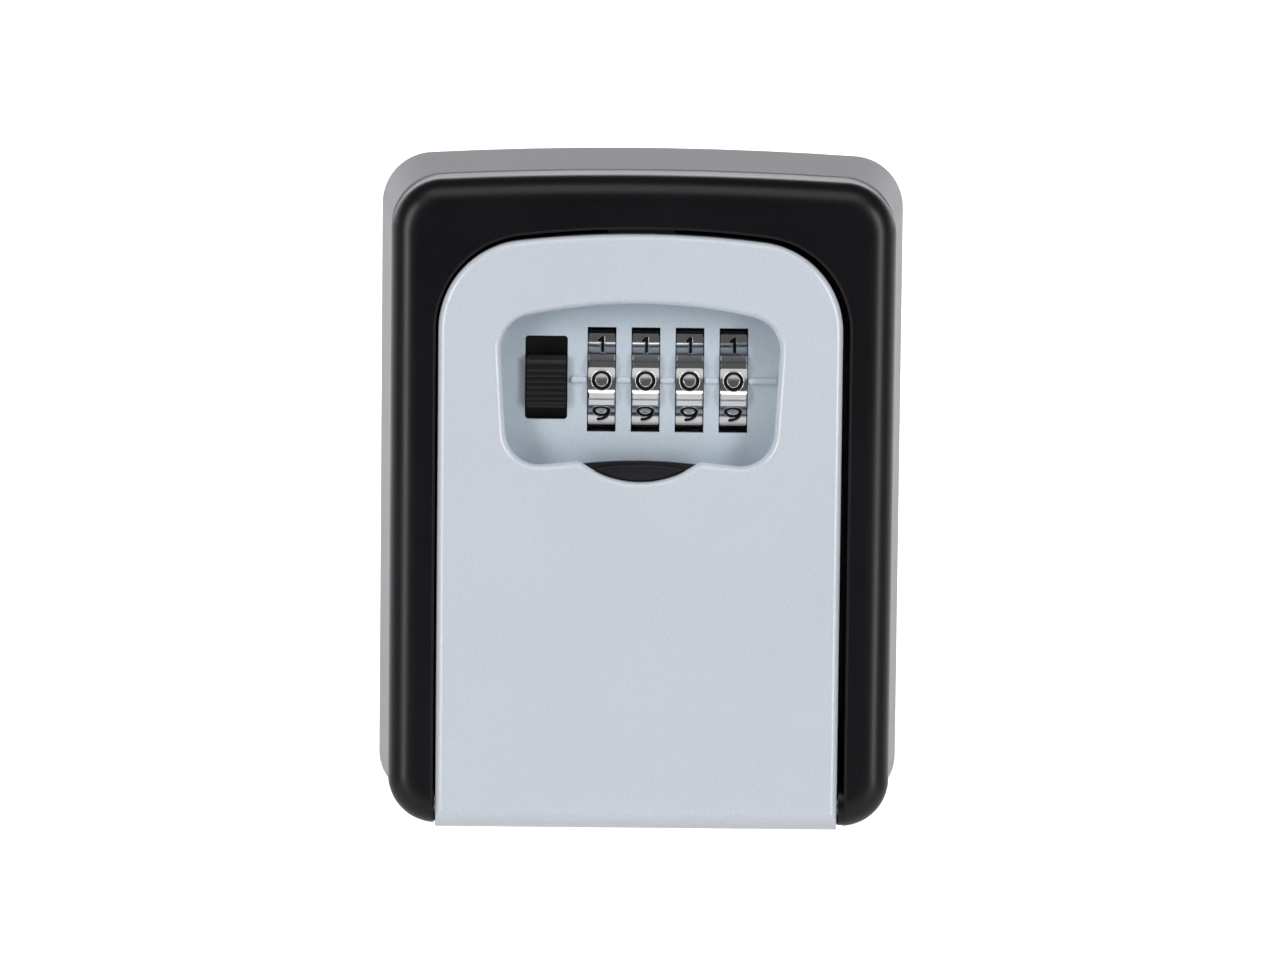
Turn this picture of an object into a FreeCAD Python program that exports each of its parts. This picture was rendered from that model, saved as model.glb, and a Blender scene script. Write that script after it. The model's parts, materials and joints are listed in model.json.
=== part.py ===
import FreeCAD, Part
import math
import os

# Wall-mounted key lock box with a bottom-hinged door, four code dials, a slide
# release and a weather shutter.  Millimetres.  The origin is the middle of the
# back face, on the wall.  X runs to the right, Z up, and the front faces -Y.

# ---------------------------------------------------------------- driving sizes
SHELL_HALF_W = 47.5        # half width of the back edge, on the wall
SHELL_TOP = 60.0           # half height of the back edge
SEAM_Y = -19.0             # where the rear housing meets the front bezel
BEZEL_Y = -39.6            # front face of the bezel
DOOR_Y = -40.0             # front face of the door
SEAM_HALF_W = 45.1
SEAM_TOP = 57.0
SEAM_BOTTOM = -59.2
BEZEL_HALF_W = 44.6        # the bezel sits just inside the housing's rim
BEZEL_TOP = 56.8
BEZEL_BOTTOM = -59.0
CROWN_R = 650.0            # gentle arch of the case top
CORNER_R = 9.4
FOOT_R = 8.6
WALL = 2.6
BACK_WALL = 3.0
BEZEL_FLANGE = 3.2
BEZEL_ROUND = 5.0

MOUNT_X = 26.0             # wall screw holes
MOUNT_Z = 32.0
MOUNT_R = 2.5
MOUNT_SINK_R = 4.6

CASE_SCREWS = ((-39.3, 49.5), (39.3, 49.5), (-39.6, -47.0), (39.6, -47.0))
CASE_BOSS_R = 3.0
CASE_SCREW_R = 1.4
CASE_SINK_R = 2.9          # counterbore for a case screw head
CASE_SINK_Y = -2.2

DOOR_X = -0.4              # the door sits towards its left cheek
DOOR_HALF_W = 35.65
DOOR_TOP = 46.5
DOOR_CORNER_R = 16.0
DOOR_ARCH_R = 180.0
DOOR_SKIN = 1.8
DOOR_GAP = 0.85
DOOR_ROUND = 1.5
CURL_R = 4.2               # lower edge of the door, round the hinge axis
HINGE_Y = DOOR_Y + CURL_R
HINGE_Z = -55.3
HINGE_PIN_R = 1.5
HINGE_FIT = 0.05
HINGE_PIN_HALF = 41.0      # half length of the pin
HINGE_BOSS_R = 3.4         # bosses on the cheeks take up the gaps beside the barrel
HINGE_SIDE_GAP = 0.25
BARREL_TOP = -50.5
CHEEK_OUTER_X = 42.8
DOOR_BACK_Y = HINGE_Y + CURL_R

WIN_TOP = 34.2             # window in the door
WIN_ARCH_R = 88.0
WIN_ARCH_TURN = math.radians(12.5)
NOTCH_BOTTOM = 2.7
NOTCH_R_BIG = 17.1
NOTCH_TURN = math.radians(31.4)
RIM_ROUND = 1.5

SHUTTER_Y = -38.0
SHUTTER_THICK = 1.2
SHUTTER_HALF_W = 26.4
SHUTTER_TOP = 6.35
SHUTTER_BOTTOM = -26.5
PAD_Y = DOOR_Y + 0.7       # finger pad on the shutter, with a thin grip ridge
PAD_HALF_W = 7.8
PAD_GAP = 0.35             # clearance between the pad and the notch
PAD_SIDE_Z = 5.0
PAD_TOP = 5.75
RIDGE_HALF_W = 6.4
RIDGE_Z = 4.70
RIDGE_RISE = 0.40
RIDGE_THICK = 0.32

FLOOR_Y = -33.0            # flat field of the dial plate
PLATE_THICK = 1.4
ARCH_R = 60.0              # the plate swells gently towards the index line
ARCH_CREST_Y = -35.0
BAR_R = 0.6                # index bars beside the dials
BAR_RISE = 0.1             # their centre line stands this far proud of the crest

DIAL_COUNT = 4
DIAL_PITCH = 7.78
DIAL_MIDDLE_X = 4.85
DIAL_Z = 20.4
DIAL_R = 10.9
DIAL_Y = -25.5
DIAL_W = 4.75
DIAL_WINDOW_W = 5.1
DIAL_WINDOW_H = 18.6
DIGITS = 10
SCOOP_R = 4.0              # one scoop for each digit
SCOOP_DEPTH = 0.95
GROOVE_HALF_W = 0.17       # fine groove along each ridge
GROOVE_DEPTH = 0.8

SHAFT_R = 2.0
HUB_R = 4.1
HUB_FIT = 0.1
DISC_R = 7.2
DISC_W = 1.2
DISC_OFFSET = 2.49         # disc edge from the middle of its dial
TOOTH_R = 4.85
NOTCH_R = 5.0
COUNTERBORE_R = 5.15

BUTTON_X = -16.6
BUTTON_WINDOW_W = 7.5
BUTTON_WINDOW = (13.3, 28.1)
BUTTON_Z = (15.4, 24.7)
BUTTON_Y = -36.3
RIB_COUNT = 7
RIB_PITCH = 1.0
RIB_GROOVE_R = 0.36
THUMB_DIP_R = 1.65

SLIDE_Y = (-26.5, -24.5)   # stamped latch slide
BRIDGE_Z = (34.8, 38.0)
FINGER_W = 1.0
FINGER_TIP_R = 7.6
HOOK_TOP = 49.0
HOOK_HALF_W = 6.0

STRIKE_Y = (-28.9, -27.0)
STRIKE_LIP_Z = 47.2
STRIKE_ROOF_Z = 53.2
STRIKE_THICK = 1.4
STRIKE_SCREW_X = (-12.0, 12.0)
STRIKE_SCREW_Z = 50.2
STRIKE_SCREW_R = 1.2

FRAME_Y = (-31.6, -30.1)   # base plate of the lock frame
FRAME_SCREW_R = 1.0
COVER_SCREW_R = 0.9
FRAME_SCREWS = ((-32.0, 9.0), (32.0, 9.0), (-32.0, 29.0), (32.0, 29.0))
COVER_SCREWS = ((-15.0, -3.3), (15.0, -3.3), (-32.0, 19.0), (32.0, 19.0))
CHEEK_LEFT = (-12.4, -11.2)
CHEEK_RIGHT = (26.2, 27.4)

COVER_HALF_W = 30.2
COVER_Z = (-1.6, 43.0)
COVER_BACK_Y = -12.5
COVER_WALL = 1.3

LEVER_X = 22.8             # pivot of the code reset lever
LEVER_ARM = 2.5
LEVER_Z = DIAL_Z + LEVER_ARM
LEVER_PIN_R = 0.8

os.makedirs("parts", exist_ok=True)


# ---------------------------------------------------------------------- helpers
def vec(x, y, z):
    return FreeCAD.Vector(x, y, z)


def box(x0, x1, y0, y1, z0, z1):
    """A block between two corners."""
    return Part.makeBox(x1 - x0, y1 - y0, z1 - z0, vec(x0, y0, z0))


def cyl_x(x0, x1, y, z, radius):
    return Part.makeCylinder(radius, x1 - x0, vec(x0, y, z), vec(1, 0, 0))


def cyl_y(y0, y1, x, z, radius):
    return Part.makeCylinder(radius, y1 - y0, vec(x, y0, z), vec(0, 1, 0))


def line(a, b):
    return Part.LineSegment(a, b).toShape()


def arc(a, middle, b):
    return Part.Arc(a, middle, b).toShape()


def fuse(first, *rest):
    return first.multiFuse(list(rest)).removeSplitter()


def prism(wire, y0, y1):
    """Extrude a closed wire drawn in an XZ plane, from y0 to y1."""
    face = Part.Face(wire)
    face.translate(vec(0, y0 - wire.BoundBox.YMin, 0))
    return face.extrude(vec(0, y1 - y0, 0))


def crowned_outline(y, half_w, top, bottom, corner_r, foot_r, crown_r):
    """Upright outline with an arched top, tangent top corners and round feet."""
    crown_z = top - crown_r
    cx = half_w - corner_r
    cz = crown_z + math.sqrt((crown_r - corner_r) ** 2 - cx ** 2)
    reach = crown_r / (crown_r - corner_r)
    tx = cx * reach
    tz = crown_z + (cz - crown_z) * reach
    half_turn = 0.5 * math.atan2(tz - cz, tx - cx)
    mx = cx + corner_r * math.cos(half_turn)
    mz = cz + corner_r * math.sin(half_turn)
    edges = [
        arc(vec(-tx, y, tz), vec(0, y, top), vec(tx, y, tz)),
        arc(vec(tx, y, tz), vec(mx, y, mz), vec(half_w, y, cz)),
    ]
    if foot_r > 0:
        fx = half_w - foot_r
        fz = bottom + foot_r
        dx = fx + foot_r * math.sqrt(0.5)
        dz = fz - foot_r * math.sqrt(0.5)
        edges += [
            line(vec(half_w, y, cz), vec(half_w, y, fz)),
            arc(vec(half_w, y, fz), vec(dx, y, dz), vec(fx, y, bottom)),
            line(vec(fx, y, bottom), vec(-fx, y, bottom)),
            arc(vec(-fx, y, bottom), vec(-dx, y, dz), vec(-half_w, y, fz)),
            line(vec(-half_w, y, fz), vec(-half_w, y, cz)),
        ]
    else:
        edges += [
            line(vec(half_w, y, cz), vec(half_w, y, bottom)),
            line(vec(half_w, y, bottom), vec(-half_w, y, bottom)),
            line(vec(-half_w, y, bottom), vec(-half_w, y, cz)),
        ]
    edges.append(arc(vec(-half_w, y, cz), vec(-mx, y, mz), vec(-tx, y, tz)))
    return Part.Wire(edges)


def housing_outline(y, inset):
    """Outline of the drafted rear housing at depth y, moved inwards by inset."""
    t = y / SEAM_Y
    half_w = SHELL_HALF_W + (SEAM_HALF_W - SHELL_HALF_W) * t
    top = SHELL_TOP + (SEAM_TOP - SHELL_TOP) * t
    bottom = -SHELL_TOP + (SEAM_BOTTOM + SHELL_TOP) * t
    return crowned_outline(
        y, half_w - inset, top - inset, bottom + inset,
        CORNER_R - inset, FOOT_R - inset, CROWN_R)


def bezel_outline(inset):
    """Outline of the straight-sided front bezel, moved inwards by inset."""
    return crowned_outline(
        0, BEZEL_HALF_W - inset, BEZEL_TOP - inset, BEZEL_BOTTOM + inset,
        CORNER_R - inset, FOOT_R - inset, CROWN_R)


def loft(*wires):
    return Part.makeLoft(list(wires), True, True)


def door_outline(y, grow, bottom):
    """Door outline grown by a clearance (or shrunk, when negative)."""
    return crowned_outline(
        y, DOOR_HALF_W + grow, DOOR_TOP + grow, bottom,
        DOOR_CORNER_R + grow, 0, DOOR_ARCH_R)


def rounded(x0, x1, z0, z1, radius, y0, y1):
    """A plate with four round corners, x0..x1 by z0..z1, from y0 to y1."""
    solid = box(x0, x1, y0, y1, z0, z1)
    upright = [e for e in solid.Edges if abs(e.tangentAt(e.FirstParameter).y) > 0.99]
    return solid.makeFillet(radius, upright)


def unit(a, b):
    """Unit vector from a to b, in the XZ plane."""
    length = math.hypot(b[0] - a[0], b[1] - a[1])
    return (b[0] - a[0]) / length, (b[1] - a[1]) / length


def grown_corners(corners, grow):
    """Move every side of a clockwise outline outwards; its corner radii follow."""
    result = []
    for i, (x, z, radius) in enumerate(corners):
        before = unit(corners[i - 1], (x, z))
        after = unit((x, z), corners[(i + 1) % len(corners)])
        turn = before[0] * after[1] - before[1] * after[0]
        n0 = (-before[1], before[0])
        n1 = (-after[1], after[0])
        share = grow / (1 + n0[0] * n1[0] + n0[1] * n1[1])
        radius += grow if turn < 0 else -grow
        result.append((x + share * (n0[0] + n1[0]), z + share * (n0[1] + n1[1]),
                       max(radius, 0.3)))
    return result


def rounded_outline(y, corners):
    """Closed wire of straight sides joined by tangent arcs, from (x, z, radius)."""
    ends = []
    for i, (x, z, radius) in enumerate(corners):
        before = unit(corners[i - 1], (x, z))
        after = unit((x, z), corners[(i + 1) % len(corners)])
        turn = math.acos(before[0] * after[0] + before[1] * after[1])
        reach = radius * math.tan(turn / 2)
        inward = unit((0, 0), (after[0] - before[0], after[1] - before[1]))
        depth = radius / math.cos(turn / 2) - radius
        ends.append((
            vec(x - before[0] * reach, y, z - before[1] * reach),
            vec(x + inward[0] * depth, y, z + inward[1] * depth),
            vec(x + after[0] * reach, y, z + after[1] * reach)))
    edges = []
    for i, (start, middle, end) in enumerate(ends):
        edges.append(arc(start, middle, end))
        edges.append(line(end, ends[(i + 1) % len(ends)][0]))
    return Part.Wire(edges)


def window_outline(y, grow):
    """Door window: arched top, sloping sides, and a finger notch below."""
    right = [(24.9, 30.8, 6.0), (23.35, 5.0, 6.0), (10.7, 6.3, 2.0)]
    left = [(-x, z, r) for x, z, r in reversed(right)]
    arch = (0.0, WIN_TOP + WIN_ARCH_R * (1 / math.cos(WIN_ARCH_TURN) - 1), WIN_ARCH_R)
    notch = (0.0, NOTCH_BOTTOM - NOTCH_R_BIG * (1 / math.cos(NOTCH_TURN) - 1), NOTCH_R_BIG)
    return rounded_outline(y, grown_corners([arch] + right + [notch] + left, grow))


def screw(x, z, head_y, tip_y, shank_r, head_r, head_h):
    """Pan-head screw along Y with a cross recess; its head sits at head_y."""
    way = 1 if tip_y > head_y else -1
    shank = cyl_y(min(head_y, tip_y), max(head_y, tip_y), x, z, shank_r)
    outer_y = head_y - way * head_h
    head = cyl_y(min(head_y, outer_y), max(head_y, outer_y), x, z, head_r)
    rim = [e for e in head.Edges if abs(e.BoundBox.YMin - outer_y) < 1e-6
           and e.BoundBox.YLength < 1e-6]
    head = head.makeFillet(head_h * 0.45, rim)
    recess_y = outer_y + way * head_h * 0.6
    low, high = min(outer_y, recess_y), max(outer_y, recess_y)
    slot_w = head_r * 0.16
    slot_l = head_r * 0.6
    cross = box(x - slot_l, x + slot_l, low, high, z - slot_w, z + slot_w)
    cross = cross.fuse(box(x - slot_w, x + slot_w, low, high, z - slot_l, z + slot_l))
    return fuse(shank, head).cut(cross)


def dial_x(index):
    return DIAL_MIDDLE_X + (index - (DIAL_COUNT - 1) / 2.0) * DIAL_PITCH


# ------------------------------------------------------------------ case pieces
def rear_housing():
    """Drafted tub that is screwed to the wall."""
    tub = loft(housing_outline(0, 0), housing_outline(SEAM_Y, 0))
    hollow = loft(housing_outline(-BACK_WALL, WALL), housing_outline(SEAM_Y - 1, WALL))
    tub = tub.cut(hollow)
    bosses = [cyl_y(SEAM_Y, -BACK_WALL + 0.5, x, z, CASE_BOSS_R) for x, z in CASE_SCREWS]
    tub = fuse(tub, *bosses)
    for x, z in CASE_SCREWS:
        tub = tub.cut(cyl_y(SEAM_Y - 1, 1, x, z, CASE_SCREW_R + 0.2))
        tub = tub.cut(cyl_y(CASE_SINK_Y, 1, x, z, CASE_SINK_R))
    for x in (-MOUNT_X, MOUNT_X):
        for z in (-MOUNT_Z, MOUNT_Z):
            sink = Part.makeCone(
                MOUNT_R, MOUNT_SINK_R, BACK_WALL - 1.2, vec(x, -1.2, z), vec(0, -1, 0))
            tub = tub.cut(cyl_y(-BACK_WALL - 1, 1, x, z, MOUNT_R)).cut(sink)
    return tub


def front_bezel():
    """Black inverted-U frame round the door, with the hinge cheeks in its legs."""
    blank = prism(bezel_outline(0), BEZEL_Y, SEAM_Y)
    rim = [e for e in blank.Edges if e.BoundBox.YMax < BEZEL_Y + 0.01]
    blank = blank.makeFillet(BEZEL_ROUND, rim)
    flange_y = BEZEL_Y + BEZEL_FLANGE
    body = blank.cut(prism(bezel_outline(WALL), flange_y, SEAM_Y + 1))
    opening = prism(door_outline(0, DOOR_GAP, -70), BEZEL_Y - 2, flange_y + 0.5)
    edge = loft(door_outline(BEZEL_Y, DOOR_GAP + 0.45, -70),
                door_outline(BEZEL_Y + 0.45, DOOR_GAP, -70))
    body = body.cut(opening).cut(edge)
    half_open = DOOR_HALF_W + DOOR_GAP
    sweep = CURL_R + 0.5
    body = body.cut(cyl_x(-half_open, half_open, HINGE_Y, HINGE_Z, sweep))
    body = body.cut(box(-half_open, half_open, BEZEL_Y - 1, HINGE_Y, -62, HINGE_Z))
    adds = [cyl_y(flange_y - 0.5, SEAM_Y, x, z, CASE_BOSS_R) for x, z in CASE_SCREWS]
    for side in (-1, 1):
        x0, x1 = sorted((side * half_open, side * CHEEK_OUTER_X))
        adds.append(box(x0, x1, -37.0, -31.4, -57.5, -51.0).common(blank))
        beside_barrel = DOOR_X + side * (DOOR_HALF_W + HINGE_SIDE_GAP)
        x0, x1 = sorted((beside_barrel, side * (half_open + 0.5)))
        adds.append(cyl_x(x0, x1, HINGE_Y, HINGE_Z, HINGE_BOSS_R))
    body = fuse(body, *adds)
    body = body.cut(cyl_x(-HINGE_PIN_HALF, HINGE_PIN_HALF, HINGE_Y, HINGE_Z, HINGE_PIN_R))
    for x, z in CASE_SCREWS:
        body = body.cut(cyl_y(-30.0, SEAM_Y + 1, x, z, CASE_SCREW_R))
    for x in STRIKE_SCREW_X:
        body = body.cut(cyl_y(flange_y - 1.8, flange_y + 1, x, STRIKE_SCREW_Z, STRIKE_SCREW_R))
    return body


def bezel_screws():
    return Part.makeCompound(
        [screw(x, z, CASE_SINK_Y, -29.5, CASE_SCREW_R, 2.7, 1.7) for x, z in CASE_SCREWS])


def strike_plate():
    """Bent steel plate; the latch hook is caught behind its lip."""
    flange_y = BEZEL_Y + BEZEL_FLANGE
    top = STRIKE_ROOF_Z
    foot = rounded(-15.0, 15.0, 48.4, top, 1.2, flange_y, flange_y + STRIKE_THICK)
    roof = box(-9.0, 9.0, flange_y, STRIKE_Y[1], top - STRIKE_THICK, top)
    lip = box(-9.0, 9.0, STRIKE_Y[0], STRIKE_Y[1], STRIKE_LIP_Z, top)
    plate = fuse(foot, roof, lip)
    for x in STRIKE_SCREW_X:
        plate = plate.cut(cyl_y(flange_y - 1, flange_y + 3, x, STRIKE_SCREW_Z, STRIKE_SCREW_R))
    return plate


def strike_screws():
    seat = BEZEL_Y + BEZEL_FLANGE + STRIKE_THICK
    tip = BEZEL_Y + BEZEL_FLANGE - 1.7
    return Part.makeCompound(
        [screw(x, STRIKE_SCREW_Z, seat, tip, STRIKE_SCREW_R, 2.2, 1.3) for x in STRIKE_SCREW_X])


def hinge_pin():
    pin = cyl_x(-HINGE_PIN_HALF, HINGE_PIN_HALF, HINGE_Y, HINGE_Z, HINGE_PIN_R)
    return pin.makeChamfer(0.3, [e for e in pin.Edges if e.BoundBox.XLength < 0.01])


# ------------------------------------------------------------------ door pieces
def door_panel():
    """Cast door skin with a window, a flange all round and a hinge barrel."""
    blank = prism(door_outline(0, 0, -70), DOOR_Y, DOOR_BACK_Y)
    front = [e for e in blank.Edges if e.BoundBox.YMax < DOOR_Y + 0.01
             and e.BoundBox.ZMax > -69]
    blank = blank.makeFillet(DOOR_ROUND, front)
    side = [
        line(vec(0, DOOR_BACK_Y, HINGE_Z), vec(0, DOOR_BACK_Y, 60)),
        line(vec(0, DOOR_BACK_Y, 60), vec(0, DOOR_Y, 60)),
        line(vec(0, DOOR_Y, 60), vec(0, DOOR_Y, HINGE_Z)),
        arc(vec(0, DOOR_Y, HINGE_Z), vec(0, HINGE_Y, HINGE_Z - CURL_R),
            vec(0, DOOR_BACK_Y, HINGE_Z)),
    ]
    profile = Part.Face(Part.Wire(side))
    profile.translate(vec(-40, 0, 0))
    body = blank.common(profile.extrude(vec(80, 0, 0)))
    skin_y = DOOR_Y + DOOR_SKIN
    body = body.cut(prism(door_outline(0, -DOOR_SKIN, BARREL_TOP), skin_y, DOOR_BACK_Y + 1))
    window = prism(window_outline(0, 0), DOOR_Y - 1, skin_y + 1)
    body = body.cut(window)
    rim = [e for e in body.Edges if e.BoundBox.YMax < DOOR_Y + 0.01
           and abs(e.BoundBox.Center.x) < 25 and 0 < e.BoundBox.Center.z < 36
           and e.BoundBox.XLength < 40 and e.BoundBox.ZLength < 34]
    body = body.makeFillet(RIM_ROUND, rim)
    adds = [cyl_y(skin_y - 0.5, FLOOR_Y, x, z, 1.8) for x, z in FRAME_SCREWS]
    for s in (-1, 1):
        x0, x1 = sorted((s * 26.8, s * 28.2))
        adds.append(box(x0, x1, skin_y - 0.5, -36.6, -30.0, 34.0))
    adds.append(box(-20.0, 20.0, skin_y - 0.5, -36.2, -29.5, -28.0))
    body = fuse(body, *adds)
    for x, z in FRAME_SCREWS:
        body = body.cut(cyl_y(-38.6, FLOOR_Y + 1, x, z, FRAME_SCREW_R))
    for x0, x1 in ((-25.0, -6.0), (6.0, 25.0)):
        body = body.cut(box(x0, x1, -37.6, DOOR_BACK_Y + 1, -57.8, BARREL_TOP + 1))
    return body.cut(cyl_x(-HINGE_PIN_HALF, HINGE_PIN_HALF, HINGE_Y, HINGE_Z, HINGE_PIN_R + HINGE_FIT))


def dial_arch(radius, half_h, x0, x1):
    """Solid swelling round the dials, front side only."""
    barrel = cyl_x(x0, x1, ARCH_CREST_Y + ARCH_R, DIAL_Z, radius)
    return barrel.common(box(x0, x1, -60, FLOOR_Y + PLATE_THICK,
                             DIAL_Z - half_h, DIAL_Z + half_h))


def dial_plate():
    """Tray behind the window: floor, wall round it, dial windows and index bars."""
    back_y = FLOOR_Y + PLATE_THICK
    base = prism(door_outline(0, -DOOR_SKIN - 0.4, -1.0), FLOOR_Y, back_y)
    wall = prism(window_outline(0, 2.4), -36.6, back_y)
    wall = wall.cut(prism(window_outline(0, 0.8), -38, FLOOR_Y))
    half_h = math.sqrt(ARCH_R ** 2 - (ARCH_R - (FLOOR_Y - ARCH_CREST_Y)) ** 2)
    swell = dial_arch(ARCH_R, half_h, -26.0, 26.0)
    swell = swell.common(prism(window_outline(0, 1.6), -60, 0))
    bars = []
    lefts = [BUTTON_X + BUTTON_WINDOW_W / 2 + 0.5]
    rights = []
    for i in range(DIAL_COUNT):
        rights.append(dial_x(i) - DIAL_WINDOW_W / 2 - 0.05)
        lefts.append(dial_x(i) + DIAL_WINDOW_W / 2 + 0.05)
    rights.append(24.6)
    bar_y = ARCH_CREST_Y - BAR_RISE
    for x0, x1 in zip(lefts, rights):
        bars.append(cyl_x(x0 + BAR_R, x1 - BAR_R, bar_y, DIAL_Z, BAR_R))
        for x in (x0 + BAR_R, x1 - BAR_R):
            bars.append(Part.makeSphere(BAR_R, vec(x, bar_y, DIAL_Z)))
    plate = fuse(base, wall, swell, *bars)
    under = dial_arch(ARCH_R - PLATE_THICK, half_h - 3.0, -22.5, 23.5)
    plate = plate.cut(under)
    for i in range(DIAL_COUNT):
        x = dial_x(i)
        plate = plate.cut(box(x - DIAL_WINDOW_W / 2, x + DIAL_WINDOW_W / 2, -60, 0,
                              DIAL_Z - DIAL_WINDOW_H / 2, DIAL_Z + DIAL_WINDOW_H / 2))
    half = BUTTON_WINDOW_W / 2
    plate = plate.cut(rounded(BUTTON_X - half, BUTTON_X + half, BUTTON_WINDOW[0],
                              BUTTON_WINDOW[1], 0.6, -60, 0))
    for x, z in FRAME_SCREWS:
        plate = plate.cut(cyl_y(-60, 0, x, z, FRAME_SCREW_R + 0.1))
    return plate


def lock_frame():
    """Frame behind the dial plate: bearings for the dial shaft, guides for the slide."""
    y0, y1 = FRAME_Y
    base = prism(door_outline(0, -DOOR_SKIN - 0.4, -5.2), y0, y1)
    base = base.cut(box(-22.0, 25.0, y0 - 1, y1 + 1, 6.0, 34.4))
    adds = []
    for x0, x1 in (CHEEK_LEFT, CHEEK_RIGHT):
        adds.append(box(x0, x1, y1 - 1.5 if x0 > 0 else y1 - 1.2, -20.5, 6.0, 27.5))
    adds.append(box(CHEEK_LEFT[0], CHEEK_RIGHT[1], y1 - 0.5, -21.0, 4.2, 6.4))
    adds.append(box(-22.4, -21.2, y1 - 0.5, -23.0, 0.5, 33.0))
    adds.append(box(-22.4, CHEEK_LEFT[1], y1 - 0.5, -22.0, 0.0, 1.5))
    adds.append(box(-12.0, 25.0, y1 - 0.5, -22.5, 39.2, 40.8))
    adds.append(box(-22.0, -12.0, y1 - 0.5, -22.5, 39.2, 40.8))
    frame = fuse(base, *adds)
    frame = frame.cut(box(-HOOK_HALF_W - 0.6, HOOK_HALF_W + 0.6, -27.2, -23.8, 39.0, 42.0))
    frame = frame.cut(cyl_x(-14, 30, DIAL_Y, DIAL_Z, SHAFT_R + 0.03))
    for x, z in FRAME_SCREWS:
        frame = frame.cut(cyl_y(-60, 0, x, z, FRAME_SCREW_R + 0.1))
    for x, z in COVER_SCREWS:
        frame = frame.cut(cyl_y(-60, 0, x, z, COVER_SCREW_R))
    return frame


def frame_screws():
    return Part.makeCompound(
        [screw(x, z, FRAME_Y[1], -38.5, FRAME_SCREW_R, 1.6, 1.1) for x, z in FRAME_SCREWS])


def inner_cover():
    """Cover on the back of the door, over the lock works."""
    z0, z1 = COVER_Z
    seat_y = FRAME_Y[1]
    shell = box(-COVER_HALF_W, COVER_HALF_W, seat_y, COVER_BACK_Y, z0, z1)
    posts = [e for e in shell.Edges if abs(e.tangentAt(e.FirstParameter).y) > 0.99]
    shell = shell.makeFillet(4.0, posts)
    rim = [e for e in shell.Edges if e.BoundBox.YMin > COVER_BACK_Y - 0.01]
    shell = shell.makeFillet(1.0, rim)
    w = COVER_WALL
    hollow = rounded(-COVER_HALF_W + w, COVER_HALF_W - w, z0 + w, z1 - w, 2.7,
                     seat_y - 1, COVER_BACK_Y - w)
    ears = []
    for x, z in COVER_SCREWS:
        reach = box(x - 2.0, x + 2.0, seat_y, seat_y + 1.2, z - 1.8, z + 4.5)
        if abs(x) > COVER_HALF_W - 1:
            low, high = sorted((x + math.copysign(1.6, x), x - math.copysign(2.4, x)))
            reach = box(low, high, seat_y, seat_y + 1.2, z - 1.8, z + 1.8)
        ears.append(reach)
    cover = fuse(shell, *ears).cut(hollow)
    cover = cover.cut(box(-HOOK_HALF_W - 0.8, HOOK_HALF_W + 0.8, -27.4, -23.6, z1 - 2, z1 + 1))
    cover = cover.cut(cyl_y(COVER_BACK_Y - 3, COVER_BACK_Y + 1, LEVER_X, LEVER_Z, 2.6))
    for x, z in COVER_SCREWS:
        cover = cover.cut(cyl_y(-60, 0, x, z, COVER_SCREW_R))
    rib_z = DIAL_Z - 16.5
    for k in range(3):
        groove = box(-20, 14, COVER_BACK_Y - 0.5, COVER_BACK_Y + 1, rib_z + 3 * k, rib_z + 3 * k + 1)
        cover = cover.cut(groove)
    return cover


def cover_screws():
    seat = FRAME_Y[1] + 1.2
    return Part.makeCompound(
        [screw(x, z, seat, FRAME_Y[0] + 0.05, COVER_SCREW_R, 1.55, 0.9) for x, z in COVER_SCREWS])


def detent_spring():
    """Leaf comb on the inner cover; one finger clicks into each dial."""
    back_y = COVER_BACK_Y - COVER_WALL
    strip = box(dial_x(0) - 2.0, dial_x(3) + 2.0, back_y - 0.4, back_y, 34.2, 40.5)
    pieces = []
    for i in range(DIAL_COUNT):
        x = dial_x(i)
        finger = box(x - 1.3, x + 1.3, back_y - 0.4, back_y, 19.6, 34.5)
        bump = cyl_x(x - 1.3, x + 1.3, back_y - 0.1, DIAL_Z, 0.6)
        bump = bump.common(box(x - 2, x + 2, back_y - 2, back_y, 15, 25))
        pieces += [finger, bump]
    return fuse(strip, *pieces)


def coil(radius, wire_r, length, turns, centre, axis):
    """Compression spring: a round wire swept along a helix, ends left open."""
    pitch = (length - 2 * wire_r) / turns
    helix = Part.makeHelix(pitch, length - 2 * wire_r, radius)
    start = vec(radius, 0, 0)
    section = Part.Wire(Part.makeCircle(wire_r, start, vec(0, 1, 0)))
    spring = Part.Wire(helix).makePipeShell([section], True, True)
    spring.translate(vec(0, 0, wire_r))
    spring.Placement = FreeCAD.Placement(
        centre, FreeCAD.Rotation(vec(0, 0, 1), axis)).multiply(spring.Placement)
    return spring


def latch_spring():
    """Pushes the latch slide up, back to locked."""
    return coil(1.9, 0.3, 6.3, 5, vec(-17.2, -25.5, 1.6), vec(0, 0, 1))


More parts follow.
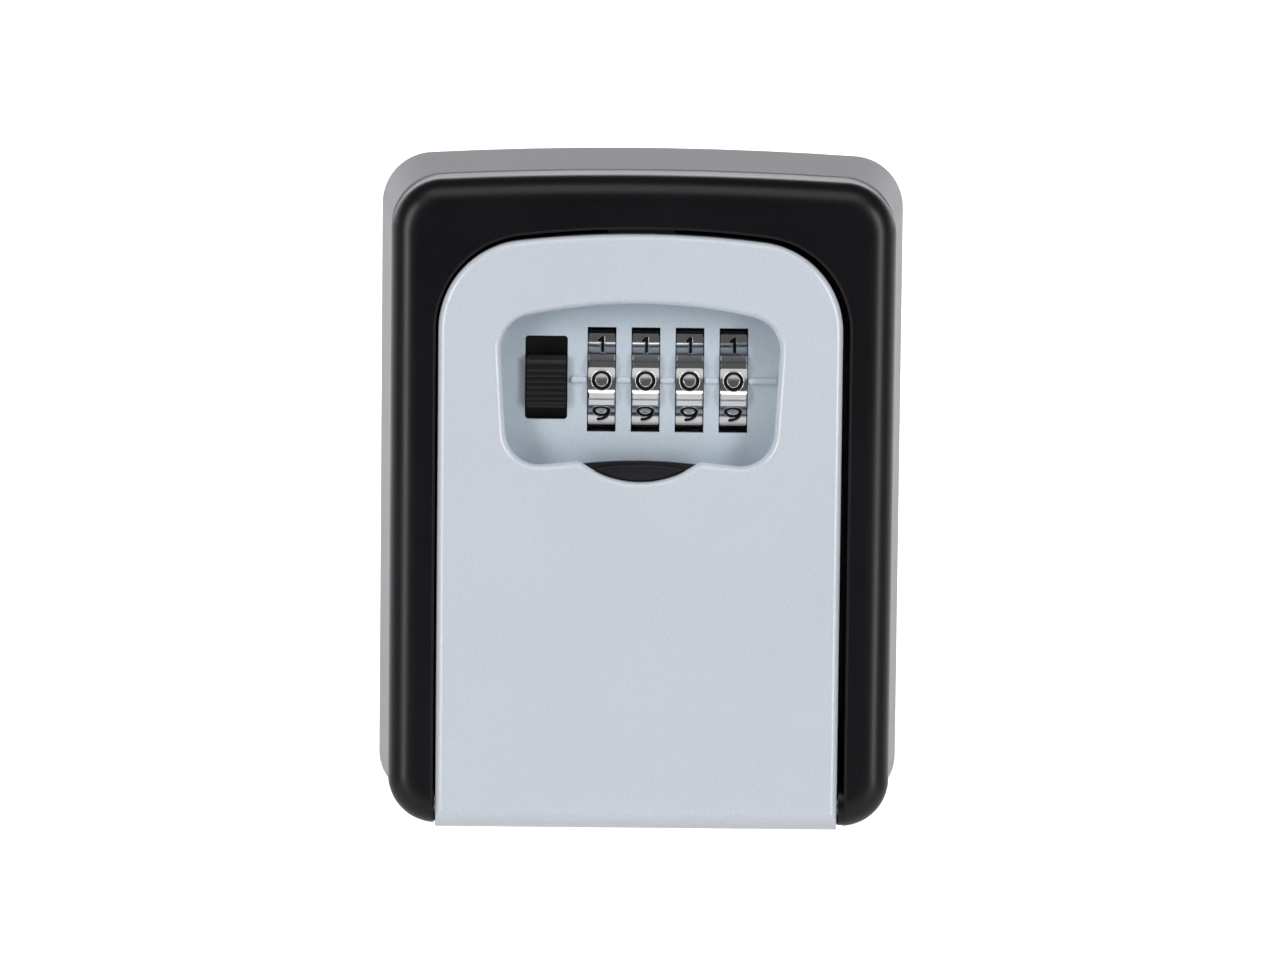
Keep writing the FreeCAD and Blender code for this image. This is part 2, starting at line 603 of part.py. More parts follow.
# --------------------------------------------------------------- release pieces
def latch_slide():
    """Stamped slide: hook above, comb over the code discs, tail over its spring."""
    y0, y1 = SLIDE_Y
    x0 = -20.4
    bar = box(x0, -14.2, y0, y1, 8.0, BRIDGE_Z[1])
    bridge = box(x0, 21.0, y0, y1, BRIDGE_Z[0], BRIDGE_Z[1])
    tongue = box(-HOOK_HALF_W, HOOK_HALF_W, y0, y1, BRIDGE_Z[1] - 0.5, HOOK_TOP)
    top = [e for e in tongue.Edges
           if e.BoundBox.ZMin > HOOK_TOP - 0.01 and e.BoundBox.XLength > 1
           and e.BoundBox.YMin < y0 + 0.01]
    tongue = tongue.makeChamfer(0.8, top)
    fingers = []
    for i in range(DIAL_COUNT):
        x = dial_x(i) + DISC_OFFSET + (DISC_W - FINGER_W) / 2
        tip = DIAL_Z + FINGER_TIP_R
        fingers.append(box(x, x + FINGER_W, y0, y1, tip, BRIDGE_Z[0] + 0.5))
    slide = fuse(bar, bridge, tongue, *fingers)
    return slide.cut(cyl_y(-30, -20, BUTTON_X - 0.6, 20.0, 1.1))


def release_button():
    """Ribbed thumb slider and the dust plate behind its window."""
    half = BUTTON_WINDOW_W / 2 - 0.25
    z0, z1 = BUTTON_Z
    x0, x1 = BUTTON_X - half, BUTTON_X + half
    apron = box(-20.9, -12.7, -31.3, -29.9, 8.6, 33.0)
    block = rounded(x0, x1, z0, z1, 0.5, BUTTON_Y, -31.0)
    bevel = box(x0 - 1, x1 + 1, -0.6, 0.6, -0.6, 0.6)
    bevel.rotate(vec(0, 0, 0), vec(1, 0, 0), 45)
    for z in (z0, z1):
        edge_cut = bevel.copy()
        edge_cut.translate(vec(0, BUTTON_Y, z))
        block = block.cut(edge_cut)
    block = block.cut(cyl_x(x0 - 1, x1 + 1, BUTTON_Y - 1.35, z1 - THUMB_DIP_R, THUMB_DIP_R))
    for k in range(RIB_COUNT):
        z = z0 + 0.72 + k * RIB_PITCH
        block = block.cut(cyl_x(x0 - 1, x1 + 1, BUTTON_Y - 0.04, z, RIB_GROOVE_R))
    stem = box(BUTTON_X - 2.6, BUTTON_X + 1.4, -30.2, SLIDE_Y[0], 17.0, 23.0)
    button = fuse(apron, block, stem)
    return button.cut(cyl_y(-30.5, -20, BUTTON_X - 0.6, 20.0, 1.0))


def button_screw():
    return screw(BUTTON_X - 0.6, 20.0, SLIDE_Y[1], -30.3, 1.0, 2.0, 1.2)


# --------------------------------------------------------------------- shutter
def shutter():
    """Weather shutter with a finger pad that shows in the window notch."""
    back = SHUTTER_Y + SHUTTER_THICK
    half = SHUTTER_HALF_W
    shoulder = SHUTTER_TOP - WIN_ARCH_R + math.sqrt(WIN_ARCH_R ** 2 - half ** 2)
    plate = rounded(-half, half, SHUTTER_BOTTOM, SHUTTER_TOP + 5, 2.0, SHUTTER_Y, back)
    under_arch = Part.Wire([
        arc(vec(-half, 0, shoulder), vec(0, 0, SHUTTER_TOP), vec(half, 0, shoulder)),
        line(vec(half, 0, shoulder), vec(half, 0, SHUTTER_BOTTOM)),
        line(vec(half, 0, SHUTTER_BOTTOM), vec(-half, 0, SHUTTER_BOTTOM)),
        line(vec(-half, 0, SHUTTER_BOTTOM), vec(-half, 0, shoulder)),
    ])
    plate = plate.common(prism(under_arch, SHUTTER_Y - 1, back + 1))
    reach, side_z = PAD_HALF_W, PAD_SIDE_Z
    outline = Part.Wire([
        arc(vec(-reach, 0, side_z), vec(0, 0, NOTCH_BOTTOM + PAD_GAP), vec(reach, 0, side_z)),
        arc(vec(reach, 0, side_z), vec(0, 0, PAD_TOP), vec(-reach, 0, side_z)),
    ])
    pad = prism(outline, PAD_Y, SHUTTER_Y + 0.3)
    end, high, low = RIDGE_HALF_W, RIDGE_Z, RIDGE_Z - RIDGE_THICK
    ridge = prism(Part.Wire([
        arc(vec(-end, 0, high), vec(0, 0, high + RIDGE_RISE), vec(end, 0, high)),
        line(vec(end, 0, high), vec(end, 0, low)),
        arc(vec(end, 0, low), vec(0, 0, low + RIDGE_RISE), vec(-end, 0, low)),
        line(vec(-end, 0, low), vec(-end, 0, high)),
    ]), PAD_Y - 0.3, PAD_Y + 0.2)
    return fuse(plate, pad, ridge)


# ----------------------------------------------------------------------- dials
def turned(shape, degrees):
    """A copy turned about the dial axis."""
    copy = shape.copy()
    copy.rotate(vec(0, DIAL_Y, DIAL_Z), vec(1, 0, 0), degrees)
    return copy


def dial(index):
    """Scooped code dial; notches inside its left half drive the code sleeve."""
    x = dial_x(index)
    x0, x1 = x - DIAL_W / 2, x + DIAL_W / 2
    ring = cyl_x(x0, x1, DIAL_Y, DIAL_Z, DIAL_R)
    ring = ring.makeChamfer(0.2, [e for e in ring.Edges if e.BoundBox.XLength < 0.01])
    ring = ring.cut(cyl_x(x0 - 1, x1 + 1, DIAL_Y, DIAL_Z, HUB_R + HUB_FIT))
    ring = ring.cut(cyl_x(x - 0.7, x1 + 1, DIAL_Y, DIAL_Z, COUNTERBORE_R))
    scoop_y = DIAL_Y - DIAL_R - SCOOP_R + SCOOP_DEPTH
    scoop = cyl_x(x0 - 1, x1 + 1, scoop_y, DIAL_Z, SCOOP_R)
    crest_y = DIAL_Y - DIAL_R
    groove = box(x0 - 1, x1 + 1, crest_y - 1, crest_y + GROOVE_DEPTH,
                 DIAL_Z - GROOVE_HALF_W, DIAL_Z + GROOVE_HALF_W)
    notch = box(x0 - 1, x - 0.69, DIAL_Y - NOTCH_R, DIAL_Y, DIAL_Z - 0.75, DIAL_Z + 0.75)
    step = 360.0 / DIGITS
    cuts = []
    for k in range(DIGITS):
        cuts.append(turned(scoop, k * step))
        cuts.append(turned(groove, (k + 0.5) * step))
        cuts.append(turned(notch, k * step))
    return ring.cut(Part.makeCompound(cuts))


def code_sleeve(index):
    """Sleeve on the shaft: gated disc beside the dial, one tooth inside it."""
    x = dial_x(index)
    hub = cyl_x(x - 3.05, x + 4.63, DIAL_Y, DIAL_Z, HUB_R)
    disc = cyl_x(x + DISC_OFFSET, x + DISC_OFFSET + DISC_W, DIAL_Y, DIAL_Z, DISC_R)
    tooth = box(x - 2.2, x - 0.85, DIAL_Y - TOOTH_R, DIAL_Y - HUB_R + 0.6,
                DIAL_Z - 0.55, DIAL_Z + 0.55)
    sleeve = fuse(hub, disc, tooth)
    gate = box(x + DISC_OFFSET - 0.1, x + DISC_OFFSET + DISC_W + 0.1,
               DIAL_Y - 1.3, DIAL_Y + 1.3, DIAL_Z + HUB_R + 0.1, DIAL_Z + DISC_R + 1)
    sleeve = sleeve.cut(gate)
    return sleeve.cut(cyl_x(x - 5, x + 6, DIAL_Y, DIAL_Z, SHAFT_R + 0.05))


def dial_shaft():
    """Shaft through all four sleeves, with a thrust collar for the reset lever."""
    rod = cyl_x(-13.6, 27.1, DIAL_Y, DIAL_Z, SHAFT_R)
    rod = rod.makeChamfer(0.3, [e for e in rod.Edges if e.BoundBox.XLength < 0.01])
    return fuse(rod, cyl_x(23.75, 24.6, DIAL_Y, DIAL_Z, 3.9))


def shaft_clips():
    """Open retaining rings at both ends of the sleeve stack."""
    rings = []
    for x0, x1 in ((-10.8, -10.0), (21.25, 21.85)):
        ring = cyl_x(x0, x1, DIAL_Y, DIAL_Z, 3.9)
        ring = ring.cut(cyl_x(x0 - 1, x1 + 1, DIAL_Y, DIAL_Z, SHAFT_R))
        rings.append(ring.cut(box(x0 - 1, x1 + 1, DIAL_Y - 1.1, DIAL_Y + 1.1,
                                  DIAL_Z - 6, DIAL_Z)))
    return Part.makeCompound(rings)


def reset_lever():
    """Code reset lever on the back of the inner cover, with its crank pin inside."""
    outer_y = COVER_BACK_Y + 0.3
    hub = cyl_y(outer_y, outer_y + 1.6, LEVER_X, LEVER_Z, 4.2)
    arm = rounded(LEVER_X - 2.0, LEVER_X + 2.0, LEVER_Z - 1.0, LEVER_Z + 15.0, 1.9,
                  outer_y, outer_y + 1.6)
    knob = cyl_y(outer_y + 1.0, outer_y + 3.6, LEVER_X, LEVER_Z + 12.6, 1.9)
    neck = cyl_y(COVER_BACK_Y - COVER_WALL - 0.3, outer_y + 0.5, LEVER_X, LEVER_Z, 2.55)
    disc = cyl_y(-15.6, COVER_BACK_Y - COVER_WALL - 0.3, LEVER_X, LEVER_Z, 3.6)
    pin = cyl_y(DIAL_Y + 2.3, -15.0, LEVER_X, LEVER_Z - LEVER_ARM, LEVER_PIN_R)
    return fuse(hub, arm, knob, neck, disc, pin)


# ---------------------------------------------------------------------- export
CASE_NODES = {
    "rear_housing": rear_housing,
    "front_bezel": front_bezel,
    "bezel_screws": bezel_screws,
    "strike_plate": strike_plate,
    "strike_screws": strike_screws,
    "hinge_pin": hinge_pin,
}
DOOR_NODES = {
    "door_panel": door_panel,
    "dial_plate": dial_plate,
    "lock_frame": lock_frame,
    "frame_screws": frame_screws,
    "inner_cover": inner_cover,
    "cover_screws": cover_screws,
    "detent_spring": detent_spring,
    "latch_spring": latch_spring,
    "latch_slide": latch_slide,
    "release_button": release_button,
    "button_screw": button_screw,
    "shutter": shutter,
    "dial_shaft": dial_shaft,
    "shaft_clips": shaft_clips,
    "reset_lever": reset_lever,
}


def save(name, shape):
    if not shape.isValid():
        raise RuntimeError(name + " is not a valid solid")
    shape.exportStep("parts/" + name + ".step")
    print(name, len(shape.Solids), round(shape.Volume, 1))


for node, make in CASE_NODES.items():
    save(node, make())

for node, make in DOOR_NODES.items():
    piece = make()
    piece.translate(vec(DOOR_X, 0, 0))
    save(node, piece)

for number in range(DIAL_COUNT):
    for prefix, make in (("dial_", dial), ("code_sleeve_", code_sleeve)):
        piece = make(number)
        piece.translate(vec(DOOR_X, 0, 0))
        save(prefix + str(number + 1), piece)
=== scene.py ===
import json
import math

import bpy
from mathutils import Matrix, Vector


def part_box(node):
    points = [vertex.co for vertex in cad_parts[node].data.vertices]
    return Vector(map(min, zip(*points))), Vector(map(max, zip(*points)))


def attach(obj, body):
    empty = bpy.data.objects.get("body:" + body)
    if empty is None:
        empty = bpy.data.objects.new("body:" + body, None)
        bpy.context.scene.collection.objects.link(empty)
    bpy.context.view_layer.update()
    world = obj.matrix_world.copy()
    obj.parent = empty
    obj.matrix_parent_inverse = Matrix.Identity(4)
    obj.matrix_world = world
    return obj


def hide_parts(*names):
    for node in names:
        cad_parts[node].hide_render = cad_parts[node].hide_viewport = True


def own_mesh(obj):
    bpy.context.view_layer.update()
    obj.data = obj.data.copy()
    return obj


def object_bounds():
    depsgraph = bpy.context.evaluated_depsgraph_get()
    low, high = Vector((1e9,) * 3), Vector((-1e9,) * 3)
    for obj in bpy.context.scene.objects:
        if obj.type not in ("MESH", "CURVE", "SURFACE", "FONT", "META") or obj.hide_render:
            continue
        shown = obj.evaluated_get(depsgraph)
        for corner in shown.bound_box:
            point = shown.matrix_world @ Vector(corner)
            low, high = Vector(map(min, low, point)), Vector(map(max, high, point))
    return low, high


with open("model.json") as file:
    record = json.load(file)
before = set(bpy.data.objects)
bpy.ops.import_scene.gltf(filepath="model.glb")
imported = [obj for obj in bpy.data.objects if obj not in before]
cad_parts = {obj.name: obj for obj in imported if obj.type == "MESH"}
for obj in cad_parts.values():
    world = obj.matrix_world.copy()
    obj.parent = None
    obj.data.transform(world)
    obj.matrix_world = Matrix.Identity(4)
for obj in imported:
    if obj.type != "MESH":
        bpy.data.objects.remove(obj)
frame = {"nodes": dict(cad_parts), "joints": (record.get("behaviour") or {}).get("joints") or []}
CAD_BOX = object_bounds()
MM = 0.001

# -------------------------------------------------------- joints and nodes
JOINTS = {joint["name"]: joint for joint in frame["joints"]}
DIAL_NODES = ["dial_1", "dial_2", "dial_3", "dial_4"]
SLEEVE_NODES = ["code_sleeve_1", "code_sleeve_2", "code_sleeve_3", "code_sleeve_4"]


# --------------------------------------------------------------- materials
# Noise scales are per metre: 2300 gives specks of about 0.4 mm.
PAINT_CLOUD, PAINT_PEEL, PAINT_SPECK = 26.0, 700.0, 2300.0
MOULD_CLOUD, MOULD_GRAIN = 60.0, 3600.0
METAL_STAIN, METAL_LINES = 90.0, 900.0
MIX_A, MIX_B, MIX_RESULT = 6, 7, 2      # the Mix node's colour sockets


def new_material(name, colour, rough, metal=0.0, coat=0.0, coat_rough=0.1, specular=0.5):
    """A Principled material; constant values sit on the shader's own sockets."""
    material = bpy.data.materials.new(name)
    material.use_nodes = True
    shader = material.node_tree.nodes["Principled BSDF"]
    shader.inputs["Base Color"].default_value = (*colour, 1)
    shader.inputs["Roughness"].default_value = rough
    shader.inputs["Metallic"].default_value = metal
    shader.inputs["Coat Weight"].default_value = coat
    shader.inputs["Coat Roughness"].default_value = coat_rough
    shader.inputs["Specular IOR Level"].default_value = specular
    return material, shader


def add_node(material, kind, **sockets):
    """A shader node; an underscore in a keyword stands for a space in a socket's name."""
    node = material.node_tree.nodes.new(kind)
    for key, value in sockets.items():
        node.inputs[key.replace("_", " ")].default_value = value
    return node


def join(material, source, target):
    material.node_tree.links.new(source, target)


def coordinates(material, squeeze=(1, 1, 1)):
    """Object coordinates, squeezed along chosen axes for brushed or turned marks."""
    place = add_node(material, "ShaderNodeTexCoord")
    mapping = add_node(material, "ShaderNodeMapping", Scale=squeeze)
    join(material, place.outputs["Object"], mapping.inputs["Vector"])
    return mapping.outputs["Vector"]


def noise(material, vector, scale, detail=3.0, rough=0.5):
    node = add_node(material, "ShaderNodeTexNoise", Scale=scale, Detail=detail,
                    Roughness=rough)
    join(material, vector, node.inputs["Vector"])
    return node.outputs["Fac"]


def ramp(material, factor, stops):
    """Colours blended by a factor; each stop is (position, colour)."""
    node = add_node(material, "ShaderNodeValToRGB")
    elements = node.color_ramp.elements
    while len(elements) < len(stops):
        elements.new(0.5)
    for element, (at, colour) in zip(elements, stops):
        element.position = at
        element.color = (*colour, 1)
    join(material, factor, node.inputs["Fac"])
    return node.outputs["Color"]


def spread(material, factor, low, high):
    """A factor of 0 to 1 mapped to low to high."""
    node = add_node(material, "ShaderNodeMapRange", To_Min=low, To_Max=high)
    join(material, factor, node.inputs["Value"])
    return node.outputs["Result"]


def bump(material, shader, layers):
    """Stack bumps: (height, distance in metres, strength)."""
    last = None
    for height, distance, strength in layers:
        node = add_node(material, "ShaderNodeBump", Distance=distance, Strength=strength)
        join(material, height, node.inputs["Height"])
        if last:
            join(material, last, node.inputs["Normal"])
        last = node.outputs["Normal"]
    join(material, last, shader.inputs["Normal"])


def shade(colour, factor):
    return tuple(min(1.0, channel * factor) for channel in colour)


def powder_coat(name, colour, rough, grain=1.0, coat=0.06):
    """Fine-textured grey paint on cast metal."""
    material, shader = new_material(name, colour, rough, coat=coat, coat_rough=0.20)
    vector = coordinates(material)
    cloud = noise(material, vector, PAINT_CLOUD, 2.0)
    speck = noise(material, vector, PAINT_SPECK, 2.0, 0.6)
    peel = noise(material, vector, PAINT_PEEL, 2.0)
    tint = ramp(material, speck, [(0.30, shade(colour, 0.93)), (0.48, colour),
                                  (0.56, colour), (0.72, shade(colour, 1.06))])
    mixed = add_node(material, "ShaderNodeMix")
    mixed.data_type = "RGBA"
    mixed.blend_type = "MULTIPLY"
    mixed.inputs["Factor"].default_value = 1.0
    join(material, tint, mixed.inputs[MIX_A])
    join(material, ramp(material, cloud, [(0.3, (0.97, 0.97, 0.975)), (0.7, (1, 1, 1))]),
         mixed.inputs[MIX_B])
    join(material, mixed.outputs[MIX_RESULT], shader.inputs["Base Color"])
    join(material, spread(material, speck, rough - 0.06, rough + 0.08),
         shader.inputs["Roughness"])
    bump(material, shader, [(peel, 0.06 * MM * grain, 0.35), (speck, 0.03 * MM * grain, 0.5)])
    return material


def moulded(name, colour, rough, grain, specular=0.5):
    """Black moulding with a fine spark-eroded grain."""
    material, shader = new_material(name, colour, rough, specular=specular)
    vector = coordinates(material)
    fine = noise(material, vector, MOULD_GRAIN, 3.0, 0.6)
    broad = noise(material, vector, MOULD_CLOUD, 3.0)
    join(material, ramp(material, broad, [(0.3, shade(colour, 0.85)), (0.7, shade(colour, 1.25))]),
         shader.inputs["Base Color"])
    join(material, spread(material, broad, rough - 0.04, rough + 0.05),
         shader.inputs["Roughness"])
    bump(material, shader, [(fine, 0.03 * MM, grain)])
    return material


def metal(name, colour, rough, streak, squeeze=(1, 1, 1), scale=METAL_LINES):
    """Bare or plated metal with fine directional marks."""
    material, shader = new_material(name, colour, rough, metal=1.0)
    vector = coordinates(material, squeeze)
    lines = noise(material, vector, scale, 4.0, 0.65)
    stain = noise(material, coordinates(material), METAL_STAIN, 3.0)
    join(material, ramp(material, stain, [(0.25, shade(colour, 0.86)), (0.7, colour)]),
         shader.inputs["Base Color"])
    join(material, spread(material, lines, max(0.03, rough - 0.06), rough + 0.12),
         shader.inputs["Roughness"])
    bump(material, shader, [(lines, 0.02 * MM, streak)])
    return material


SHELL = powder_coat("shell_paint", (0.25, 0.25, 0.275), rough=0.55)
DOOR = powder_coat("door_paint", (0.545, 0.583, 0.640), rough=0.38, coat=0.90)
PLATE = powder_coat("plate_paint", (0.49, 0.557, 0.62), rough=0.46, grain=0.7)
BEZEL = moulded("bezel_black", (0.0020, 0.0018, 0.0032), rough=0.33, grain=0.12, specular=0.30)
SLIDER = moulded("slider_black", (0.004, 0.004, 0.004), rough=0.30, grain=0.12)
GLOSS = moulded("shutter_black", (0.012, 0.011, 0.014), rough=0.30, grain=0.06)
COVER = moulded("cover_black", (0.020, 0.020, 0.022), rough=0.55, grain=0.55)
LEVER = moulded("lever_grey", (0.24, 0.25, 0.26), rough=0.42, grain=0.25)
CHROME = metal("dial_chrome", (0.74, 0.74, 0.76), rough=0.10, streak=0.08, squeeze=(6, 1, 1))
STEEL = metal("works_steel", (0.56, 0.56, 0.57), rough=0.30, streak=0.25, squeeze=(1, 1, 8))
SCREW = metal("screw_steel", (0.50, 0.50, 0.52), rough=0.26, streak=0.20, scale=1500.0)
ALLOY = metal("frame_alloy", (0.58, 0.59, 0.60), rough=0.48, streak=0.60, scale=1300.0)
BRASS = metal("sleeve_brass", (0.72, 0.52, 0.22), rough=0.24, streak=0.25, squeeze=(10, 1, 1))
INK = moulded("digit_black", (0.002, 0.002, 0.002), rough=0.50, grain=0.08, specular=0.15)

FINISH = {
    "rear_housing": SHELL, "door_panel": DOOR, "dial_plate": PLATE,
    "front_bezel": BEZEL, "release_button": SLIDER, "shutter": GLOSS,
    "inner_cover": COVER, "reset_lever": LEVER, "lock_frame": ALLOY,
    "strike_plate": STEEL, "hinge_pin": STEEL, "latch_slide": STEEL,
    "dial_shaft": STEEL, "shaft_clips": STEEL, "detent_spring": STEEL,
    "latch_spring": STEEL, "bezel_screws": SCREW, "strike_screws": SCREW,
    "frame_screws": SCREW, "cover_screws": SCREW, "button_screw": SCREW,
}
FINISH.update({name: CHROME for name in DIAL_NODES})
FINISH.update({name: BRASS for name in SLEEVE_NODES})

for name, node in frame["nodes"].items():
    node.data.materials.clear()
    node.data.materials.append(FINISH[name])


# ------------------------------------------------------------------ digits
DIAL_RADIUS = 10.9 * MM       # over the ridges
SCOOP_R = 4.0 * MM            # each digit lies in a scoop of this radius
SCOOP_DEPTH = 0.95 * MM       # of its middle, below the ridges
GLYPH = 1.12 * MM             # one unit of the glyph drawings below
STROKE = 0.30 * MM            # half the painted width
LIP = 0.13 * MM               # bright edge of the engraving round the paint
PAINT_RISE = 0.060 * MM       # above the scoop
LIP_RISE = 0.035 * MM
POINT_STEP = 0.12 * MM        # about the distance between points along a stroke
CLOSED_GAP = 0.02 * MM        # a stroke whose ends lie nearer than this is a loop
END_CUT = 0.02 * MM           # an open stroke's round end is cut off this far from its tip
# Section of a stroke: (across, up), as shares of its half width and its height.
SECTION = [(-1.0, -0.3), (-1.0, 0.35), (-0.78, 1.0), (0.78, 1.0), (1.0, 0.35), (1.0, -0.3)]


def arc_points(cx, cz, radius, start, end, steps=18, wide=1.0):
    """Points on an arc, from start to end in degrees; wide stretches it along x."""
    turns = [math.radians(start + (end - start) * k / steps) for k in range(steps + 1)]
    return [(cx + wide * radius * math.cos(t), cz + radius * math.sin(t)) for t in turns]


def half_turn(stroke):
    return [(-x, -z) for x, z in stroke]


# Each glyph is a list of strokes, each stroke a list of (x, z) points in glyph units.
SIX = [
    arc_points(0.0, -0.40, 0.92, 0, 360, 40, wide=1.28),
    arc_points(0.40, -0.40, 1.65, 180, 78, wide=0.95),
]
GLYPHS = [
    [arc_points(0, 0, 1.29, 0, 360, 48)],
    [[(-0.62, 0.85), (-0.30, 1.05), (0.12, 1.45), (0.12, -1.45)]],
    [arc_points(0, 0.62, 0.84, 165, -35) + [(-0.90, -1.42), (0.95, -1.42)]],
    [arc_points(0, 0.70, 0.76, 150, -80) + arc_points(0, -0.64, 0.84, 80, -150)],
    [[(0.42, -1.45), (0.42, 1.42), (-1.00, -0.62), (1.00, -0.62)]],
    [[(0.80, 1.42), (-0.62, 1.42), (-0.74, 0.15)] + arc_points(0, -0.50, 0.96, 128, -150)],
    SIX,
    [[(-0.90, 1.42), (0.92, 1.42), (-0.22, -1.45)]],
    [arc_points(0, 0.72, 0.72, -90, 270, 30), arc_points(0, -0.74, 0.80, 90, 450, 30)],
    [half_turn(stroke) for stroke in SIX],
]


def resample(points, step):
    """Evenly spaced points along a polyline, both ends kept."""
    lengths = [0.0]
    for a, b in zip(points, points[1:]):
        lengths.append(lengths[-1] + math.dist(a, b))
    count = max(2, round(lengths[-1] / step))
    result = []
    k = 0
    for i in range(count + 1):
        at = lengths[-1] * i / count
        while k < len(points) - 2 and lengths[k + 1] < at:
            k += 1
        span = lengths[k + 1] - lengths[k] or 1.0
        t = min(1.0, max(0.0, (at - lengths[k]) / span))
        a, b = points[k], points[k + 1]
        result.append((a[0] + (b[0] - a[0]) * t, a[1] + (b[1] - a[1]) * t))
    return result


def on_scoop(x, t, height):
    """Point (x, radial, tangential) on the scooped face, raised by height."""
    inner = math.sqrt(SCOOP_R ** 2 - t ** 2)
    centre = DIAL_RADIUS - SCOOP_DEPTH + SCOOP_R
    lean = height / SCOOP_R
    return x, centre - inner * (1 - lean), t * (1 - lean)


def ribbon(vertices, faces, stroke, half_w, height, place):
    """A raised stroke with sloping sides and round ends, laid on the scoop."""
    points = resample([(x * GLYPH, z * GLYPH) for x, z in stroke], POINT_STEP)
    closed = math.dist(points[0], points[-1]) < CLOSED_GAP
    if closed:
        points = points[:-1]
    count = len(points)
    first = len(vertices)
    for i, (x, z) in enumerate(points):
        a = points[i - 1] if closed or i else points[0]
        b = points[(i + 1) % count] if closed or i < count - 1 else points[-1]
        dx, dz = b[0] - a[0], b[1] - a[1]
        size = math.hypot(dx, dz) or 1.0
        nx, nz = -dz / size, dx / size
        width = half_w
        if not closed:
            from_end = min(i, count - 1 - i) * POINT_STEP
            short = max(0.0, 1 - (from_end + END_CUT) / half_w)
            width = half_w * math.sqrt(1 - short ** 2)
        for across, up in SECTION:
            vertices.append(place(*on_scoop(x + nx * across * width,
                                            z + nz * across * width, up * height)))
    steps = len(SECTION)
    loops = count if closed else count - 1
    for i in range(loops):
        here = first + i * steps
        there = first + ((i + 1) % count) * steps
        for j in range(steps):
            k = (j + 1) % steps
            faces.append((here + j, there + j, there + k, here + k))
    if not closed:
        faces.append(tuple(first + j for j in range(steps)))
        faces.append(tuple(first + (count - 1) * steps + j for j in reversed(range(steps))))


def mesh_piece(name, vertices, faces, material, smooth=True):
    mesh = bpy.data.meshes.new(name)
    mesh.from_pydata(vertices, [], faces)
    mesh.validate()
    mesh.update()
    mesh.materials.append(material)
    if smooth:
        mesh.shade_smooth()
    piece = bpy.data.objects.new(name, mesh)
    bpy.context.scene.collection.objects.link(piece)
    return piece


def dial_digits(node):
    """Digits 0 to 9 round one dial: bright engraved lips with black paint inside."""
    joint = JOINTS[node + "_spin"]
    axis = Vector(joint["pos_m"])
    paint, lips = ([], []), ([], [])
    for digit, strokes in enumerate(GLYPHS):
        turn = math.radians(360 / len(GLYPHS) * digit)
        outward = Vector((0, -math.cos(turn), math.sin(turn)))
        upward = Vector((0, math.sin(turn), math.cos(turn)))

        def place(x, radial, tangent):
            return axis + Vector((x, 0, 0)) + outward * radial + upward * tangent

        for stroke in strokes:
            ribbon(*lips, stroke, STROKE + LIP, LIP_RISE, place)
            ribbon(*paint, stroke, STROKE, PAINT_RISE, place)
    for suffix, data, material, slot in (("_digits", paint, INK, "dial_chrome"),
                                         ("_digit_edges", lips, CHROME, "dial_chrome")):
        piece = mesh_piece(node + suffix, *data, material)
        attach(piece, node)


for name in DIAL_NODES:
    dial_digits(name)


# ------------------------------------------------------------ latch spring
WIRE_R = 0.3 * MM
COIL_TURNS = 6
COIL_STEPS = 28               # points to one turn
END_RISE = 0.31 * MM          # of the closed turn at each end


def clamp(value):
    return min(1.0, max(0.0, value))


def coil_points(radius, low, high):
    """Compression spring with one closed turn at each end."""
    steps = COIL_TURNS * COIL_STEPS
    flat = 1.0 / COIL_TURNS
    points = []
    for k in range(steps + 1):
        share = k / steps
        ends = clamp(share / flat) + clamp((share - 1 + flat) / flat)
        middle = clamp((share - flat) / (1 - 2 * flat))
        z = low + END_RISE * ends + (high - low - 2 * END_RISE) * middle
        turn = 2 * math.pi * COIL_TURNS * share
        points.append((radius * math.cos(turn), radius * math.sin(turn), z))
    return points


def latch_coil():
    """The visible spring, a coil of fixed length carried by the door; the real spring shortens as
    the release slides down.
    """
    low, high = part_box("latch_spring")
    middle = (low + high) / 2
    radius = (high.x - low.x) / 2 - WIRE_R
    curve = bpy.data.curves.new("latch_coil", "CURVE")
    curve.dimensions = "3D"
    curve.bevel_depth = WIRE_R
    curve.bevel_resolution = 4
    points = coil_points(radius, low.z + WIRE_R, high.z - WIRE_R)
    spline = curve.splines.new("POLY")
    spline.points.add(len(points) - 1)
    for point, (x, y, z) in zip(spline.points, points):
        point.co = (middle.x + x, middle.y + y, z, 1)
    curve.use_fill_caps = True
    maker = bpy.data.objects.new("latch_coil_maker", curve)
    bpy.context.scene.collection.objects.link(maker)
    depsgraph = bpy.context.evaluated_depsgraph_get()
    mesh = bpy.data.meshes.new_from_object(maker.evaluated_get(depsgraph))
    bpy.data.objects.remove(maker)
    mesh.materials.clear()
    mesh.materials.append(STEEL)
    piece = bpy.data.objects.new("latch_coil", mesh)
    bpy.context.scene.collection.objects.link(piece)
    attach(piece, "door")
    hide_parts("latch_spring")
    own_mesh(piece)


latch_coil()


# ------------------------------------------------------------------- stage
# Places and sizes are in metres and powers in watts.
FLOOR_HALF = 30.0
FLOOR_DROP = 0.30             # the floor lies this far below the part


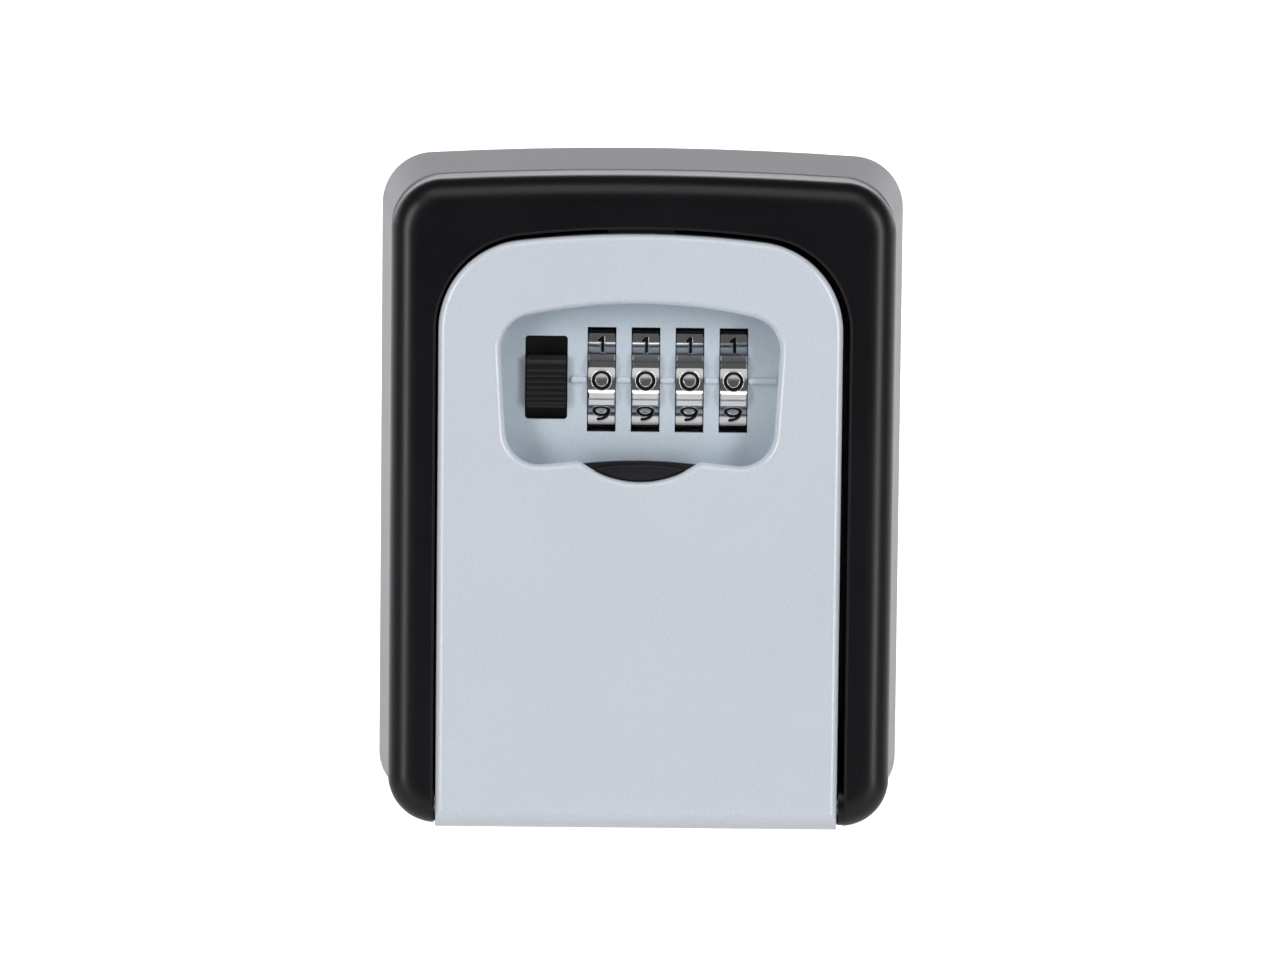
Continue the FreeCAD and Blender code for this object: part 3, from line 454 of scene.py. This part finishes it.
def floor_plane():
    """The pale floor, which fills the background of the main view."""
    half = FLOOR_HALF
    z = CAD_BOX[0][2] - FLOOR_DROP
    corners = [(-half, -half, z), (half, -half, z), (half, half, z), (-half, half, z)]
    material = new_material("floor_pale", (0.90, 0.90, 0.90), 0.85)[0]
    floor = mesh_piece("floor", corners, [(0, 1, 2, 3)], material, smooth=False)


def softbox(name, place, size, power, target=(0, 0, 0)):
    """A white rectangular light that faces its target; size is (width, height)."""
    light = bpy.data.lights.new(name, "AREA")
    light.shape = "RECTANGLE"
    light.size, light.size_y = size
    light.energy = power
    lamp = bpy.data.objects.new(name, light)
    lamp.location = place
    lamp.rotation_euler = (Vector(target) - Vector(place)).to_track_quat("-Z", "Y").to_euler()
    bpy.context.scene.collection.objects.link(lamp)


def studio():
    """Side keys, a soft roof, a separately lit far floor and no light straight in front."""
    world = bpy.data.worlds.new("studio")
    world.use_nodes = True
    background = world.node_tree.nodes["Background"]
    background.inputs["Color"].default_value = (1, 1, 1, 1)
    background.inputs["Strength"].default_value = 0.12
    bpy.context.scene.world = world
    bpy.context.scene.view_settings.view_transform = "Standard"
    for name, side in (("key_left", -1), ("key_right", 1)):
        softbox(name, place=(side * 0.85, -0.70, 0.20), size=(0.26, 0.95), power=6.8)
    softbox("roof", place=(0.0, -0.52, 0.97), size=(1.2, 0.62), power=4.6)
    softbox("far_floor", place=(0.0, 16.2, 0.8), size=(30.0, 30.0), power=4600.0,
            target=(0.0, 16.2, 0.0))


def camera():
    """Long lens, a little above and left of the front, rolled very slightly."""
    elevation, azimuth, roll = math.radians(5.8), math.radians(-0.4), math.radians(0.6)
    distance = 1.04
    sensor, focal = 36.0, 159.5
    aim = Vector((0.0, 0.0, -0.9 * MM))
    back = Vector((math.sin(azimuth) * math.cos(elevation),
                   -math.cos(azimuth) * math.cos(elevation), math.sin(elevation)))
    data = bpy.data.cameras.new("camera")
    data.sensor_width = sensor
    data.lens = focal
    data.clip_start, data.clip_end = 0.05, 100.0
    view = bpy.data.objects.new("camera", data)
    turn = (-back).to_track_quat("-Z", "Y").to_matrix() @ Matrix.Rotation(roll, 3, "Z")
    view.matrix_world = Matrix.Translation(aim + back * distance) @ turn.to_4x4()
    bpy.context.scene.collection.objects.link(view)
    bpy.context.scene.camera = view


floor_plane()
studio()
camera()
